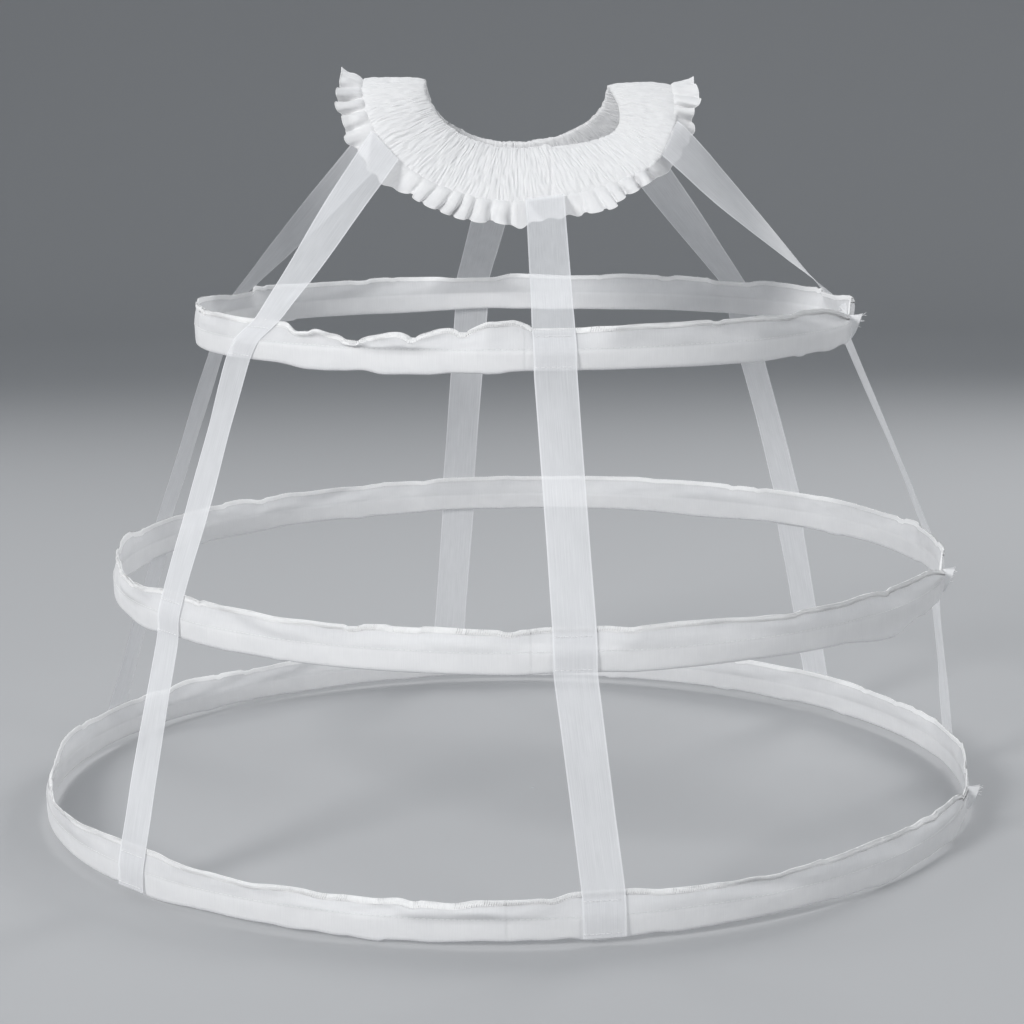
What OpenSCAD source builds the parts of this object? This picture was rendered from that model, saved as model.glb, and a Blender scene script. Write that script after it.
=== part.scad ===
// Crinoline cage: an elastic waistband with a ruffle, six sheer tapes and three boned hoops.
// Millimetres, +Z up. The origin is the middle of the waist opening, level with the dips of the band.
// Turns are degrees seen from above: 0 at the front (-Y), 90 at the right (+X), 180 at the back.

/* [Hoops] */
// Diameter of the upper hoop, at the middle of its bone
upper_hoop_d = 428; // [390:1:470]
// Diameter of the middle hoop
middle_hoop_d = 548; // [500:1:585]
// Diameter of the lower hoop
lower_hoop_d = 616; // [590:1:680]
// Drop from the waist to the lower edge of the upper hoop
upper_drop = 122; // [105:1:150]
// Drop from the waist to the lower edge of the middle hoop
middle_drop = 285; // [240:1:330]
// Drop from the waist to the lower edge of the lower hoop
lower_drop = 428; // [390:1:500]
// Sideways swing of the upper hoop as the cage hangs
upper_sway = -4; // [-10:1:10]
// Sideways swing of the middle hoop
middle_sway = -2; // [-10:1:10]
// Sideways swing of the lower hoop
lower_sway = -17; // [-20:1:20]

/* [Hoop bones] */
// Height of the flat bone
bone_h = 10; // [8:0.5:12]
// Thickness of the bone
bone_t = 1; // [0.8:0.1:1.5]
// Gap between the two ends of a bone, inside its joiner
bone_gap = 1; // [0.5:0.1:3]
// Length of the sleeve that joins the ends of a bone
joiner_l = 30; // [20:1:40]
// Wall of the joiner
joiner_wall = 0.4; // [0.3:0.1:0.6]
// Clearance between bone and joiner
joiner_fit = 0.05; // [0.05:0.05:0.2]

/* [Hoop casings] */
// Height of a casing where it is smooth
casing_h = 26; // [24:0.5:32]
// Thickness of one layer of cloth
cloth_t = 0.5; // [0.4:0.1:0.8]
// Clearance round the joiner inside the casing
channel_clear = 0.65; // [0.6:0.05:1]
// Deepest dip of a crumpled top edge
crumple = 11; // [0:0.5:11]
// Sideways lean of a crumpled top edge
lean = 3; // [0:0.5:4]
// Inward lean of the upper hoop's top edge where a tape pulls it
upper_pull = 8; // [0:0.5:9]
// Inward lean of the middle hoop's top edge where a tape pulls it
middle_pull = 3; // [0:0.5:6]
// Inward lean of the lower hoop's top edge where a tape pulls it
lower_pull = 1.5; // [0:0.5:4]
// Length of the pointed seam allowance that stands out where a casing's ends are sewn
tab_l = 9; // [4:1:14]
// How far the top edge sinks towards that seam along the casing's front end
seam_dip = 10; // [0:0.5:11]

/* [Tapes] */
// Width of a tape
tape_w = 25; // [18:1:30]
// Thickness of a tape
tape_t = 0.5; // [0.4:0.1:0.8]
// Length of tape that lies on the band above the ruffle seam
tape_overlap = 5; // [3:0.5:8]
// Clearance between a tape and what it is sewn on
sewn_clear = 0.2; // [0.2:0.05:0.4]

/* [Waistband] */
// Width of the waist opening from side to side, at the top edge of the band
waist_w = 118; // [100:1:160]
// Depth of the waist opening from front to back
waist_d = 28; // [24:1:40]
// Rise of the sides of the band above its dips
waist_rise = 44; // [35:1:55]
// How far below the origin the band dips in front
front_sag = -0.5; // [-4:0.5:8]
// How far above the origin the band dips behind
back_lift = 4; // [0:0.5:8]
// How far the right front of the band has slipped outwards
front_slip = 13; // [0:1:18]
// How much lower the band hangs at its right side than at its left
right_low = 5; // [0:0.5:8]
// Sideways swing of the waistband as the cage hangs
waist_sway = -7; // [-10:1:10]
// Width of the band from its top edge to the ruffle seam
band_h = 43; // [35:1:50]
// Outward tilt of the band at the front and back, from upright
band_tilt = 37; // [25:1:45]
// Thickness of the elastic inside the band
elastic_t = 1.5; // [1:0.1:2]
// Clearance round the elastic inside the band
elastic_clear = 0.3; // [0.25:0.05:0.5]
// Height of the gathers of the band
pleat = 0.5; // [0.3:0.1:0.8]

/* [Ruffle] */
// Length of the ruffle below the seam
ruffle_h = 16; // [12:1:22]
// Swing of the ruffle's folds at its free edge
ruffle_wave = 5; // [2:0.5:6]
// Number of folds round the ruffle
ruffle_folds = 41; // [30:1:48]

/* [Hidden] */

// Turns of the six tapes at the waist and on each hoop, from the front tape round to the left front one
waist_turns = [9, 61, 133, 187, 236, 308];
hoop_turns = [
    [4.5, 97, 133, 190, 250, 311.5],
    [5, 94, 134, 191, 251, 308],
    [10, 96, 130, 189, 248, 314]
];
// How much further round each tape is at the upper hoop's lower edge than at its top edge
upper_slants = [0, 0, 0, 0, 2, -5];
// Turn at which the ends of every casing are sewn together, and of the joiners beside it
seam_turn = 76;
joiner_turn = 86;
// Turns at which the casings of the three hoops are crumpled most, how far that reaches and how deep it is
crumple_turns = [332, 222, 349];
crumple_reach = 34;
crumple_shares = [1, 0.3, 0.5];
// Length of a casing's front end over which its edge sinks to the seam
seam_reach = 60;

// Widest step between the sections of a casing, number of sections round the collar, which is the band
// with its ruffle, and of steps in which a tape turns between the waist and the upper hoop
casing_step = 5.8;
collar_sections = 144;
tape_steps = 6;

cloth_colour = [0.93, 0.93, 0.95];
tape_colour = [0.84, 0.85, 0.88];
bone_colour = [0.97, 0.97, 0.97];
joiner_colour = [0.75, 0.76, 0.78];
elastic_colour = [0.9, 0.9, 0.88];

hoop_d = [upper_hoop_d, middle_hoop_d, lower_hoop_d];
hoop_drop = [upper_drop, middle_drop, lower_drop];
hoop_x = [upper_sway, middle_sway, lower_sway];
hoop_pull = [upper_pull, middle_pull, lower_pull];

// Section of a casing: the half widths of its channel, inside and outside, and the bone's place in it
joiner_half = bone_t / 2 + joiner_fit + joiner_wall;
channel_half = joiner_half + channel_clear;
casing_half = channel_half + cloth_t;
bone_z = cloth_t + joiner_wall + joiner_fit + sewn_clear;
channel_top = bone_z + bone_h + joiner_fit + joiner_wall + sewn_clear;
// Cloth that stands free above the channel
free_h = casing_h - channel_top;

// Section of the band, from its middle surface outwards
elastic_half = elastic_t / 2;
pocket_half = elastic_half + elastic_clear;
band_half = pocket_half + cloth_t + pleat;
// Shares of the band's width at which the elastic and its pocket start
pocket_share = cloth_t / band_h + 0.04;
elastic_share = pocket_share + elastic_clear / band_h;

function mix(a, b, s) = a + (b - a) * s;
function unit(v) = v / norm(v);
function clamp01(s) = max(0, min(1, s));
function ease(s) = let (c = clamp01(s)) c * c * (3 - 2 * c);
function apart(a, b) = let (d = ((a - b) % 360 + 360) % 360) min(d, 360 - d);
function nearest(turn, turns) = min([for (a = turns) apart(turn, a)]);

// Faces between ring a and ring b of m points. The first half of a ring is its outer side and the
// second half its inner side, and both sides are split along the same diagonal.
function side_faces(a, b, m) =
    [for (j = [0:m - 1]) let (p = a * m + j, q = a * m + (j + 1) % m, r = b * m + j, s = b * m + (j + 1) % m)
        each j < m / 2 ? [[p, r, q], [q, r, s]] : [[p, r, s], [p, s, q]]];

// A closed tube through rings of points, whose last ring joins the first
module ring_sweep(rings) {
    n = len(rings);
    polyhedron(
        points = [for (ring = rings) each ring],
        faces = [for (i = [0:n - 1]) each side_faces(i, (i + 1) % n, len(rings[0]))]);
}

// A strip through rings of points, closed at both ends
module strip_sweep(rings) {
    n = len(rings);
    m = len(rings[0]);
    polyhedron(
        points = [for (ring = rings) each ring],
        faces = concat(
            [[for (j = [0:m - 1]) j]],
            [for (i = [0:n - 2]) each side_faces(i, i + 1, m)],
            [[for (j = [m - 1:-1:0]) (n - 1) * m + j]]));
}

// Hoops

function around(i, turn, r, z) =
    [hoop_x[i] + r * sin(turn), -r * cos(turn), z - hoop_drop[i]];

// Distances along a hoop from a turn to the edge of the nearest tape and to the end seam
function to_tape(i, turn) = nearest(turn, hoop_turns[i]) * hoop_d[i] * PI / 360 - tape_w / 2;
function to_seam(i, turn) = apart(turn, seam_turn) * hoop_d[i] * PI / 360;

// How free the cloth of a casing is at a turn: 0 under a tape or at the end seam, 1 between them
function slack(i, turn) = min(ease((to_tape(i, turn) - 2) / 20), ease((to_seam(i, turn) - 4) / 14));

// How far a tape leans the top edge inwards, and how deep the edge dips between the tapes
function pulled(i, turn) = hoop_pull[i] * (1 - ease((to_tape(i, turn) - 2) / 25));
function ripple(i, turn) = 0.6 * sin(13 * turn + 75 * i) + 0.4 * sin(7 * turn + 160 * i);
function dip(i, turn) = crumple * slack(i, turn)
    * mix(crumple_shares[i] * (0.82 + 0.18 * ripple(i, turn)), 0.08 * (1 + ripple(i, turn)),
          ease(apart(turn, crumple_turns[i]) / crumple_reach));

// How far the end seam pulls the edge down: over a long stretch in front of it and a short one behind
function sunk(i, turn) =
    seam_dip * (1 - ease(to_seam(i, turn) / (sin(seam_turn - turn) > 0 ? seam_reach : tab_l)));

function top_height(i, turn) =
    let (p = pulled(i, turn))
    max(channel_top + 2 * cloth_t, channel_top + sqrt(free_h * free_h - p * p) - dip(i, turn) - sunk(i, turn));
function top_lean(i, turn) =
    lean * slack(i, turn) * (0.6 * sin(11 * turn + 40 * i) + 0.4 * sin(5 * turn)) - pulled(i, turn);

function casing_ring(i, turn, tab = 0) =
    let (r = hoop_d[i] / 2, h = top_height(i, turn), u = top_lean(i, turn), o = casing_half)
    [for (p = [[cloth_t + u + tab, h], [o + tab / 2, channel_top], [o + tab / 8, cloth_t], [o - cloth_t, 0],
               [cloth_t - o, 0], [-o, cloth_t], [-o, channel_top], [u - cloth_t, h]])
        around(i, turn, r + p[0], p[1])];

function channel_ring(i, turn) =
    let (r = hoop_d[i] / 2, u = top_lean(i, turn) / 2,
         peak = mix(channel_top, top_height(i, turn), 0.5), c = channel_half)
    [for (p = [[u, peak], [c, channel_top], [c, cloth_t], [-c, cloth_t], [-c, channel_top]])
        around(i, turn, r + p[0], p[1])];

// Half the turn that a tape, and that the seam allowance, takes up on a hoop
function tape_span(i) = (tape_w + 2) / hoop_d[i] * 180 / PI;
function seam_span(i) = cloth_t / hoop_d[i] * 360 / PI;

// Turns of a casing's sections: at both edges of every tape and of the end seam, and evenly between them
function casing_turns(i) =
    let (places = concat([[seam_turn, seam_span(i) * 2]],
            [for (k = [1:5]) [hoop_turns[i][k], tape_span(i)]],
            [[hoop_turns[i][0] + 360, tape_span(i)], [seam_turn + 360, seam_span(i) * 2]]))
    [for (n = [0:len(places) - 2])
        let (a = places[n][0] + places[n][1], b = places[n + 1][0] - places[n + 1][1],
             count = ceil((b - a) / casing_step))
        each [for (j = [0:count]) mix(a, b, j / count)]];

module hoop_casing(i) {
    turns = casing_turns(i);
    color(cloth_colour) difference() {
        ring_sweep(concat(
            [for (side = [-1, 1]) casing_ring(i, seam_turn + side * seam_span(i), tab_l)],
            [for (turn = turns) casing_ring(i, turn)]));
        ring_sweep([for (turn = turns) channel_ring(i, turn)]);
    }
}

module hoop_frame(i) {
    translate([hoop_x[i], 0, bone_z - hoop_drop[i]]) rotate(joiner_turn - 90) children();
}

module hoop_bone(i) {
    gap = bone_gap / hoop_d[i] * 360 / PI;
    color(bone_colour) hoop_frame(i) rotate(gap / 2)
        rotate_extrude(angle = 360 - gap, $fn = 180)
            translate([hoop_d[i] / 2 - bone_t / 2, 0]) square([bone_t, bone_h]);
}

module bone_joiner(i) {
    sweep = joiner_l / hoop_d[i] * 360 / PI;
    slot_t = bone_t + 2 * joiner_fit;
    slot_h = bone_h + 2 * joiner_fit;
    color(joiner_colour) hoop_frame(i) rotate(-sweep / 2)
        rotate_extrude(angle = sweep, $fn = 180)
            translate([hoop_d[i] / 2 - slot_t / 2, -joiner_fit]) difference() {
                translate([-joiner_wall, -joiner_wall])
                    square([slot_t + 2 * joiner_wall, slot_h + 2 * joiner_wall]);
                square([slot_t, slot_h]);
            }
}

// Collar: the band hangs over two pegs at its sides, so it is an oval ring folded along its long axis

// Roundness of the fold at the sides, and how soon the band swings out from it at its top edge and seam
fold_round = 0.2;
top_swing = 0.35;
seam_swing = 1;
// Turn at which the band has slipped most, how far round that reaches, and how much it tucks the ruffle in
slip_turn = 54;
slip_reach = 40;
slip_tuck = 0.35;
// How deep a tape presses the ruffle's edge below itself, and the turns over which that holds and fades
press_depth = 3;
press_span = 7.5;
press_fade = 9;

function hang(c) = (sqrt(c * c + fold_round * fold_round) - fold_round)
    / (sqrt(1 + fold_round * fold_round) - fold_round);

function slipped(turn) = 1 - ease(apart(turn, slip_turn) / slip_reach);

// A point of the collar's middle surface: share is 0 at the top edge, 1 at the seam, more on the ruffle
function collar(turn, share) =
    let (c = cos(turn), k = hang(c), down = share * band_h,
         half_w = waist_w / 2 + down,
         half_d = waist_d / 2 + down * sin(band_tilt),
         drop = waist_rise + down * cos(band_tilt) + c * (c > 0 ? front_sag : back_lift),
         swing = mix(top_swing, seam_swing, share),
         out = c * sqrt((1 + swing * swing) / (c * c + swing * swing)),
         slip = front_slip * slipped(turn),
         side = half_w * sign(sin(turn)) * sqrt(max(0, 1 - k * k)))
    [waist_sway + side + slip * mix(1, 0.45, share),
     -half_d * out,
     waist_rise - drop * k - slip * mix(0.6, 0.5, share) - right_low * max(0, sin(turn)) * (1 - k)];

function collar_out(turn, share) =
    unit(cross(collar(turn, share + 0.02) - collar(turn, share - 0.02),
               collar(turn + 0.2, share) - collar(turn - 0.2, share)));

function off_collar(turn, share, d) = collar(turn, share) + d * collar_out(turn, share);

function collar_turn(k) = k * 360 / collar_sections;

function band_ring(k) =
    let (turn = collar_turn(k), half = band_half + (k % 2 == 0 ? pleat : -pleat), soft = half - pleat)
    [for (p = [[0, soft], [0.5, half], [1, soft], [1, -soft], [0.5, -half], [0, -soft]])
        off_collar(turn, p[0], p[1])];

// A flat ribbon inside the band, a share of the band's width from its edges
module ribbon(share, half) {
    ring_sweep([for (k = [0:collar_sections - 1]) let (turn = collar_turn(k))
        [for (p = [[share, half], [1 - share, half], [1 - share, -half], [share, -half]])
            off_collar(turn, p[0], p[1])]]);
}

module waistband() {
    color(cloth_colour) difference() {
        ring_sweep([for (k = [0:collar_sections - 1]) band_ring(k)]);
        ribbon(pocket_share, pocket_half);
    }
}

module waist_elastic() {
    color(elastic_colour) ribbon(elastic_share, elastic_half);
}

// How far the band rises under the corners of a tape above the middle of the tape's start
function tape_lift(k) =
    let (turn = waist_turns[k], out = collar_out(turn, 1), top = 1 - 2 * tape_overlap / band_h,
         reach = tape_w * 0.65 / norm(collar(turn + 1, 1) - collar(turn, 1)),
         middle = off_collar(turn, 1, band_half))
    max([0, for (side = [-1, -0.5, 0.5, 1], share = [top, 1])
        (off_collar(turn + side * reach, share, band_half) - middle) * out]);

// Where a tape starts on the band, which way it pulls, and the turn by which it leads off along the ruffle
function tape_start(k) =
    off_collar(waist_turns[k], 1, band_half + pleat + sewn_clear + tape_t + tape_lift(k));
function tape_pull(k) = unit(hoop_stations(0, k)[0] - tape_start(k));
function tape_lead(k) =
    let (turn = waist_turns[k], pull = tape_pull(k),
         round = collar(turn + 1, 1) - collar(turn, 1),
         down = unit(collar(turn, 1.1) - collar(turn, 1)))
    ruffle_h * (pull * round) / (pull * down) / (round * round);
function tape_dive(k) = max(0, -tape_pull(k) * collar_out(waist_turns[k], 1));

tape_leads = [for (k = [0:5]) tape_lead(k)];
tape_dives = [for (k = [0:5]) tape_dive(k)];

// The ruffle's folds grow from the seam to the free edge, and the tapes that cross it press it inwards
function pressed(turn, s) = [for (k = [0:5])
    1 - ease((apart(turn, waist_turns[k] + s * tape_leads[k]) - press_span) / press_fade)];
function ruffle_fold(turn) = ruffle_wave * (0.35 + 0.65 * abs(cos(turn)))
    * (0.8 * cos(ruffle_folds * turn + 60 * sin(3 * turn)) + 0.2 * sin(17 * turn));
function ruffle_swing(turn, s) =
    let (press = pressed(turn, s), depths = [for (k = [0:5]) press[k] * (ruffle_h * tape_dives[k] + press_depth)])
    s * (mix(ruffle_fold(turn), 0, max(press)) - max(depths));

function ruffle_ring(k) =
    let (turn = collar_turn(k), half = cloth_t / 2,
         first = 1 + sewn_clear / band_h,
         last = 1 + ruffle_h / band_h * (1 - 0.07 * sin(29 * turn) - slip_tuck * slipped(turn)))
    concat([for (s = [0, 0.5, 1]) off_collar(turn, mix(first, last, s), ruffle_swing(turn, s) + half)],
           [for (s = [1, 0.5, 0]) off_collar(turn, mix(first, last, s), ruffle_swing(turn, s) - half)]);

module waist_ruffle() {
    color(cloth_colour) ring_sweep([for (k = [0:collar_sections - 1]) ruffle_ring(k)]);
}

// Tapes

// Where tape k passes hoop i: over its seamed edge, over its channel and at its lower edge
function hoop_stations(i, k) =
    let (turn = hoop_turns[i][k], slant = i == 0 ? upper_slants[k] : 0,
         r = hoop_d[i] / 2 + sewn_clear + tape_t)
    [around(i, turn, r + cloth_t + top_lean(i, turn), top_height(i, turn)),
     around(i, turn + slant / 2, r + casing_half, channel_top),
     around(i, turn + slant, r + casing_half, 0)];

module tape(k) {
    out = collar_out(waist_turns[k], 1);
    anchor = tape_start(k);
    first = hoop_stations(0, k);
    pull = tape_pull(k);
    along = unit(pull - pull * out * out);
    slope = [for (s = [0:tape_steps - 1]) s / tape_steps];
    path = concat([anchor - tape_overlap * along], [for (s = slope) mix(anchor, first[0], s)],
        first, hoop_stations(1, k), hoop_stations(2, k));
    last = len(path) - 1;
    // Directions across the tape: square to its pull at the waist, and level round each hoop
    square = cross(out, along);
    level = [for (i = [0:2]) [cos(hoop_turns[i][k]), sin(hoop_turns[i][k]), 0]];
    across = concat([square], [for (s = slope) unit(mix(square, level[0], s))],
        [for (i = [0:2]) each [level[i], level[i], level[i]]]);
    color(tape_colour) strip_sweep([for (s = [0:last])
        let (before = path[max(s, 1)] - path[max(s, 1) - 1],
             after = path[min(s, last - 1) + 1] - path[min(s, last - 1)],
             face = unit(cross(unit(before) + unit(after), across[s])) * tape_t / 2,
             side = across[s] * tape_w / 2)
        [path[s] + side + face, path[s] - side + face, path[s] - side - face, path[s] + side - face]]);
}

waistband();
waist_elastic();
waist_ruffle();
tape(0);  // front_tape
tape(1);  // right_front_tape
tape(2);  // right_back_tape
tape(3);  // back_tape
tape(4);  // left_back_tape
tape(5);  // left_front_tape
hoop_casing(0);  // upper_hoop_casing
hoop_casing(1);  // middle_hoop_casing
hoop_casing(2);  // lower_hoop_casing
hoop_bone(0);  // upper_hoop_bone
hoop_bone(1);  // middle_hoop_bone
hoop_bone(2);  // lower_hoop_bone
bone_joiner(0);  // upper_bone_joiner
bone_joiner(1);  // middle_bone_joiner
bone_joiner(2);  // lower_bone_joiner
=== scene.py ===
import math

import bpy
import numpy as np
from mathutils import Euler, Matrix


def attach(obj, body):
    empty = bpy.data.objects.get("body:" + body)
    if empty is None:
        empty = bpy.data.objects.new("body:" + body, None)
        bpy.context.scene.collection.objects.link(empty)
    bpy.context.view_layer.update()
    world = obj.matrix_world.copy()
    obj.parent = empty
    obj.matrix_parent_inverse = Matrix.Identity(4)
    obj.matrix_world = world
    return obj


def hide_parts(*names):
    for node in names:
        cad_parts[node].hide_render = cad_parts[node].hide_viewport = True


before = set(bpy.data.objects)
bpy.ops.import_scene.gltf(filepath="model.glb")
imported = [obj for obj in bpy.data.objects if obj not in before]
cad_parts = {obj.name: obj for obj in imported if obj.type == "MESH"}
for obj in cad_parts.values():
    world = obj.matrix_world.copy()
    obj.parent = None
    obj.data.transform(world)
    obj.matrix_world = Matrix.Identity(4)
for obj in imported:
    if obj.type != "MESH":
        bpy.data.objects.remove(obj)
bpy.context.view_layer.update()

# Sizes repeated from part.scad, in millimetres. A turn is in degrees seen from above: 0 is the
# front, 90 the right side and 180 the back.
MM = 0.001

HOOPS = ("upper", "middle", "lower")
HOOP_D = (428.0, 548.0, 616.0)
HOOP_DROP = (122.0, 285.0, 428.0)
HOOP_X = (-4.0, -2.0, -17.0)
HOOP_PULL = (8.0, 3.0, 1.5)
CRUMPLE = 11.0
CRUMPLE_TURNS = (332.0, 222.0, 349.0)
CRUMPLE_SHARES = (1.0, 0.3, 0.5)
CRUMPLE_REACH = 34.0
LEAN = 3.0
SEAM_TURN = 76.0
SEAM_DIP = 10.0
SEAM_REACH = 60.0
TAB_L = 9.0
CHANNEL_TOP = 11.8
FREE_H = 14.2
CASING_HALF = 2.1
CLOTH_T = 0.5
# How far a tape and the end seam hold a casing's edge, and over what length it then comes free
TAPE_HOLD = 2.0
TAPE_EASE = 20.0
PULL_EASE = 25.0
SEAM_HOLD = 4.0
SEAM_EASE = 14.0

TAPES = ("front", "right_front", "right_back", "back", "left_back", "left_front")
WAIST_TURNS = (9.0, 61.0, 133.0, 187.0, 236.0, 308.0)
HOOP_TURNS = (
    (4.5, 97.0, 133.0, 190.0, 250.0, 311.5),
    (5.0, 94.0, 134.0, 191.0, 251.0, 308.0),
    (10.0, 96.0, 130.0, 189.0, 248.0, 314.0),
)
UPPER_SLANTS = (0.0, 0.0, 0.0, 0.0, 2.0, -5.0)
TAPE_W = 25.0
TAPE_T = 0.5
TAPE_OVERLAP = 5.0
TAPE_STEPS = 6
SEWN_CLEAR = 0.2

WAIST_W = 118.0
WAIST_D = 28.0
WAIST_RISE = 44.0
FRONT_SAG = -0.5
BACK_LIFT = 4.0
FRONT_SLIP = 13.0
SLIP_TURN = 54.0
SLIP_REACH = 40.0
SLIP_TUCK = 0.35
RIGHT_LOW = 5.0
WAIST_SWAY = -7.0
BAND_H = 43.0
BAND_TILT = 37.0
BAND_HALF = 2.05
PLEAT = 0.5
FOLD_ROUND = 0.2
TOP_SWING = 0.35
SEAM_SWING = 1.0
RUFFLE_H = 16.0
RUFFLE_WAVE = 5.0
PRESS_DEPTH = 3.0
PRESS_SPAN = 7.5
PRESS_FADE = 9.0

EVERY_HOOP = range(len(HOOPS))
EVERY_TAPE = range(len(TAPES))


# Small functions of numbers

def mix(a, b, s):
    return a + (b - a) * s


def ease(s):
    c = np.clip(s, 0, 1)
    return c * c * (3 - 2 * c)


def sin_deg(a):
    return np.sin(np.radians(a))


def cos_deg(a):
    return np.cos(np.radians(a))


def apart(a, b):
    """Degrees between two turns, the shorter way round."""
    d = np.mod(np.subtract(a, b), 360)
    return np.minimum(d, 360 - d)


def nearest(turn, turns):
    return np.min([apart(turn, a) for a in turns], axis=0)


def even_turns(count):
    """A column of turns spread evenly round a ring."""
    return np.arange(count)[:, None] * 360 / count


def unit(v):
    return v / np.linalg.norm(v, axis=-1, keepdims=True)


def noise(u, v, cells_u, cells_v, seed):
    """Smooth seeded noise from -1 to 1. u closes on itself, and v runs from 0 to 1."""
    values = np.random.default_rng(seed).uniform(-1, 1, (cells_v + 2, cells_u))
    x = np.mod(u, 1) * cells_u
    y = np.clip(v, 0, 1) * cells_v
    x0 = np.floor(x).astype(int)
    y0 = np.floor(y).astype(int)
    fx = ease(x - x0)
    fy = ease(y - y0)
    x0 = x0 % cells_u
    x1 = (x0 + 1) % cells_u
    lower = mix(values[y0, x0], values[y0, x1], fx)
    upper = mix(values[y0 + 1, x0], values[y0 + 1, x1], fx)
    return mix(lower, upper, fy)


# Meshes

def smooth_mesh(name, points, faces, material):
    mesh = bpy.data.meshes.new(name)
    mesh.from_pydata(points.tolist(), [], faces)
    mesh.polygons.foreach_set("use_smooth", [True] * len(mesh.polygons))
    mesh.materials.append(material)
    made = bpy.data.objects.new(name, mesh)
    bpy.context.scene.collection.objects.link(made)
    return made


def make_object(name, points, faces, material, cloth=None):
    """A piece from points in millimetres. cloth gives each point its place on the cloth."""
    piece = smooth_mesh(name, points * MM, faces, material)
    if cloth is not None:
        layer = piece.data.attributes.new("cloth", "FLOAT_VECTOR", "POINT")
        layer.data.foreach_set("vector", cloth.reshape(-1).astype(np.float32))
    piece.data.update()
    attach(piece, "root")
    return piece


def grid_faces(rows, columns, close_rows=False, close_columns=False):
    last_row = rows if close_rows else rows - 1
    last_column = columns if close_columns else columns - 1
    i, j = np.meshgrid(np.arange(last_row), np.arange(last_column), indexing="ij")
    i1 = (i + 1) % rows
    j1 = (j + 1) % columns
    corners = [i * columns + j, i1 * columns + j, i1 * columns + j1, i * columns + j1]
    return np.stack(corners, -1).reshape(-1, 4).tolist()


def grid_object(name, points, cloth, material, close_rows=False, close_columns=False):
    """A mesh over a grid of points, shaped (rows, columns, 3)."""
    rows, columns = points.shape[:2]
    faces = grid_faces(rows, columns, close_rows, close_columns)
    return make_object(name, points.reshape(-1, 3), faces, material, cloth)


def cloth_places(across, along):
    """Places on the cloth over a grid of points, in millimetres."""
    return np.stack(np.broadcast_arrays(across, along, 0.0), -1)


def tube(path, radius, sides, closed):
    """Points and faces of a thin tube along a path."""
    before = np.roll(path, 1, axis=0)
    after = np.roll(path, -1, axis=0)
    if not closed:
        before[0] = path[0]
        after[-1] = path[-1]
    along = unit(after - before)
    steep = np.abs(along[:, 2:3]) > 0.9
    helper = np.where(steep, [[1.0, 0.0, 0.0]], [[0.0, 0.0, 1.0]])
    side = unit(np.cross(along, helper))
    up = np.cross(side, along)
    angles = (np.arange(sides) * 2 * math.pi / sides)[None, :, None]
    rings = path[:, None] + radius * (np.cos(angles) * side[:, None] + np.sin(angles) * up[:, None])
    faces = grid_faces(len(path), sides, closed, True)
    if not closed:
        faces.append(list(range(sides)))
        faces.append([(len(path) - 1) * sides + j for j in reversed(range(sides))])
    return rings.reshape(-1, 3), faces


def thread_object(name, paths, radius, materials, closed=False, sides=4):
    """One mesh of several threads."""
    points = []
    faces = []
    count = 0
    for path in paths:
        ring_points, ring_faces = tube(np.asarray(path, float), radius, sides, closed)
        points.append(ring_points)
        faces += [[count + corner for corner in face] for face in ring_faces]
        count += len(ring_points)
    return make_object(name, np.concatenate(points), faces, materials["thread"])


# Hoops, as in part.scad

def around(i, turn, r, z):
    """A point at a radius and a height above the lower edge of hoop i."""
    return np.stack([HOOP_X[i] + r * sin_deg(turn), -r * cos_deg(turn), z - HOOP_DROP[i] + 0 * r], -1)


def arc(i, degrees):
    """Millimetres along hoop i."""
    return degrees * HOOP_D[i] * math.pi / 360


def to_tape(i, turn):
    """Millimetres along hoop i to the side of the nearest tape."""
    return arc(i, nearest(turn, HOOP_TURNS[i])) - TAPE_W / 2


def to_seam(i, turn):
    return arc(i, apart(turn, SEAM_TURN))


def slack(i, turn):
    """0 where a tape or the end seam holds the edge of a casing, 1 where the edge is free."""
    off_tape = ease((to_tape(i, turn) - TAPE_HOLD) / TAPE_EASE)
    off_seam = ease((to_seam(i, turn) - SEAM_HOLD) / SEAM_EASE)
    return np.minimum(off_tape, off_seam)


def pulled(i, turn):
    return HOOP_PULL[i] * (1 - ease((to_tape(i, turn) - TAPE_HOLD) / PULL_EASE))


def ripple(i, turn):
    return 0.6 * sin_deg(13 * turn + 75 * i) + 0.4 * sin_deg(7 * turn + 160 * i)


def crumpled(i, turn):
    return 1 - ease(apart(turn, CRUMPLE_TURNS[i]) / CRUMPLE_REACH)


def dip(i, turn):
    deep = CRUMPLE_SHARES[i] * (0.82 + 0.18 * ripple(i, turn))
    shallow = 0.08 * (1 + ripple(i, turn))
    return CRUMPLE * slack(i, turn) * mix(shallow, deep, crumpled(i, turn))


def sunk(i, turn):
    """How far the end seam pulls the edge down, further along its front end."""
    reach = np.where(sin_deg(SEAM_TURN - turn) > 0, SEAM_REACH, TAB_L)
    return SEAM_DIP * (1 - ease(to_seam(i, turn) / reach))


def top_height(i, turn):
    free = np.sqrt(FREE_H ** 2 - pulled(i, turn) ** 2)
    return np.maximum(CHANNEL_TOP + 2 * CLOTH_T, CHANNEL_TOP + free - dip(i, turn) - sunk(i, turn))


def top_lean(i, turn):
    sway = 0.6 * sin_deg(11 * turn + 40 * i) + 0.4 * sin_deg(5 * turn)
    return LEAN * slack(i, turn) * sway - pulled(i, turn)


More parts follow.
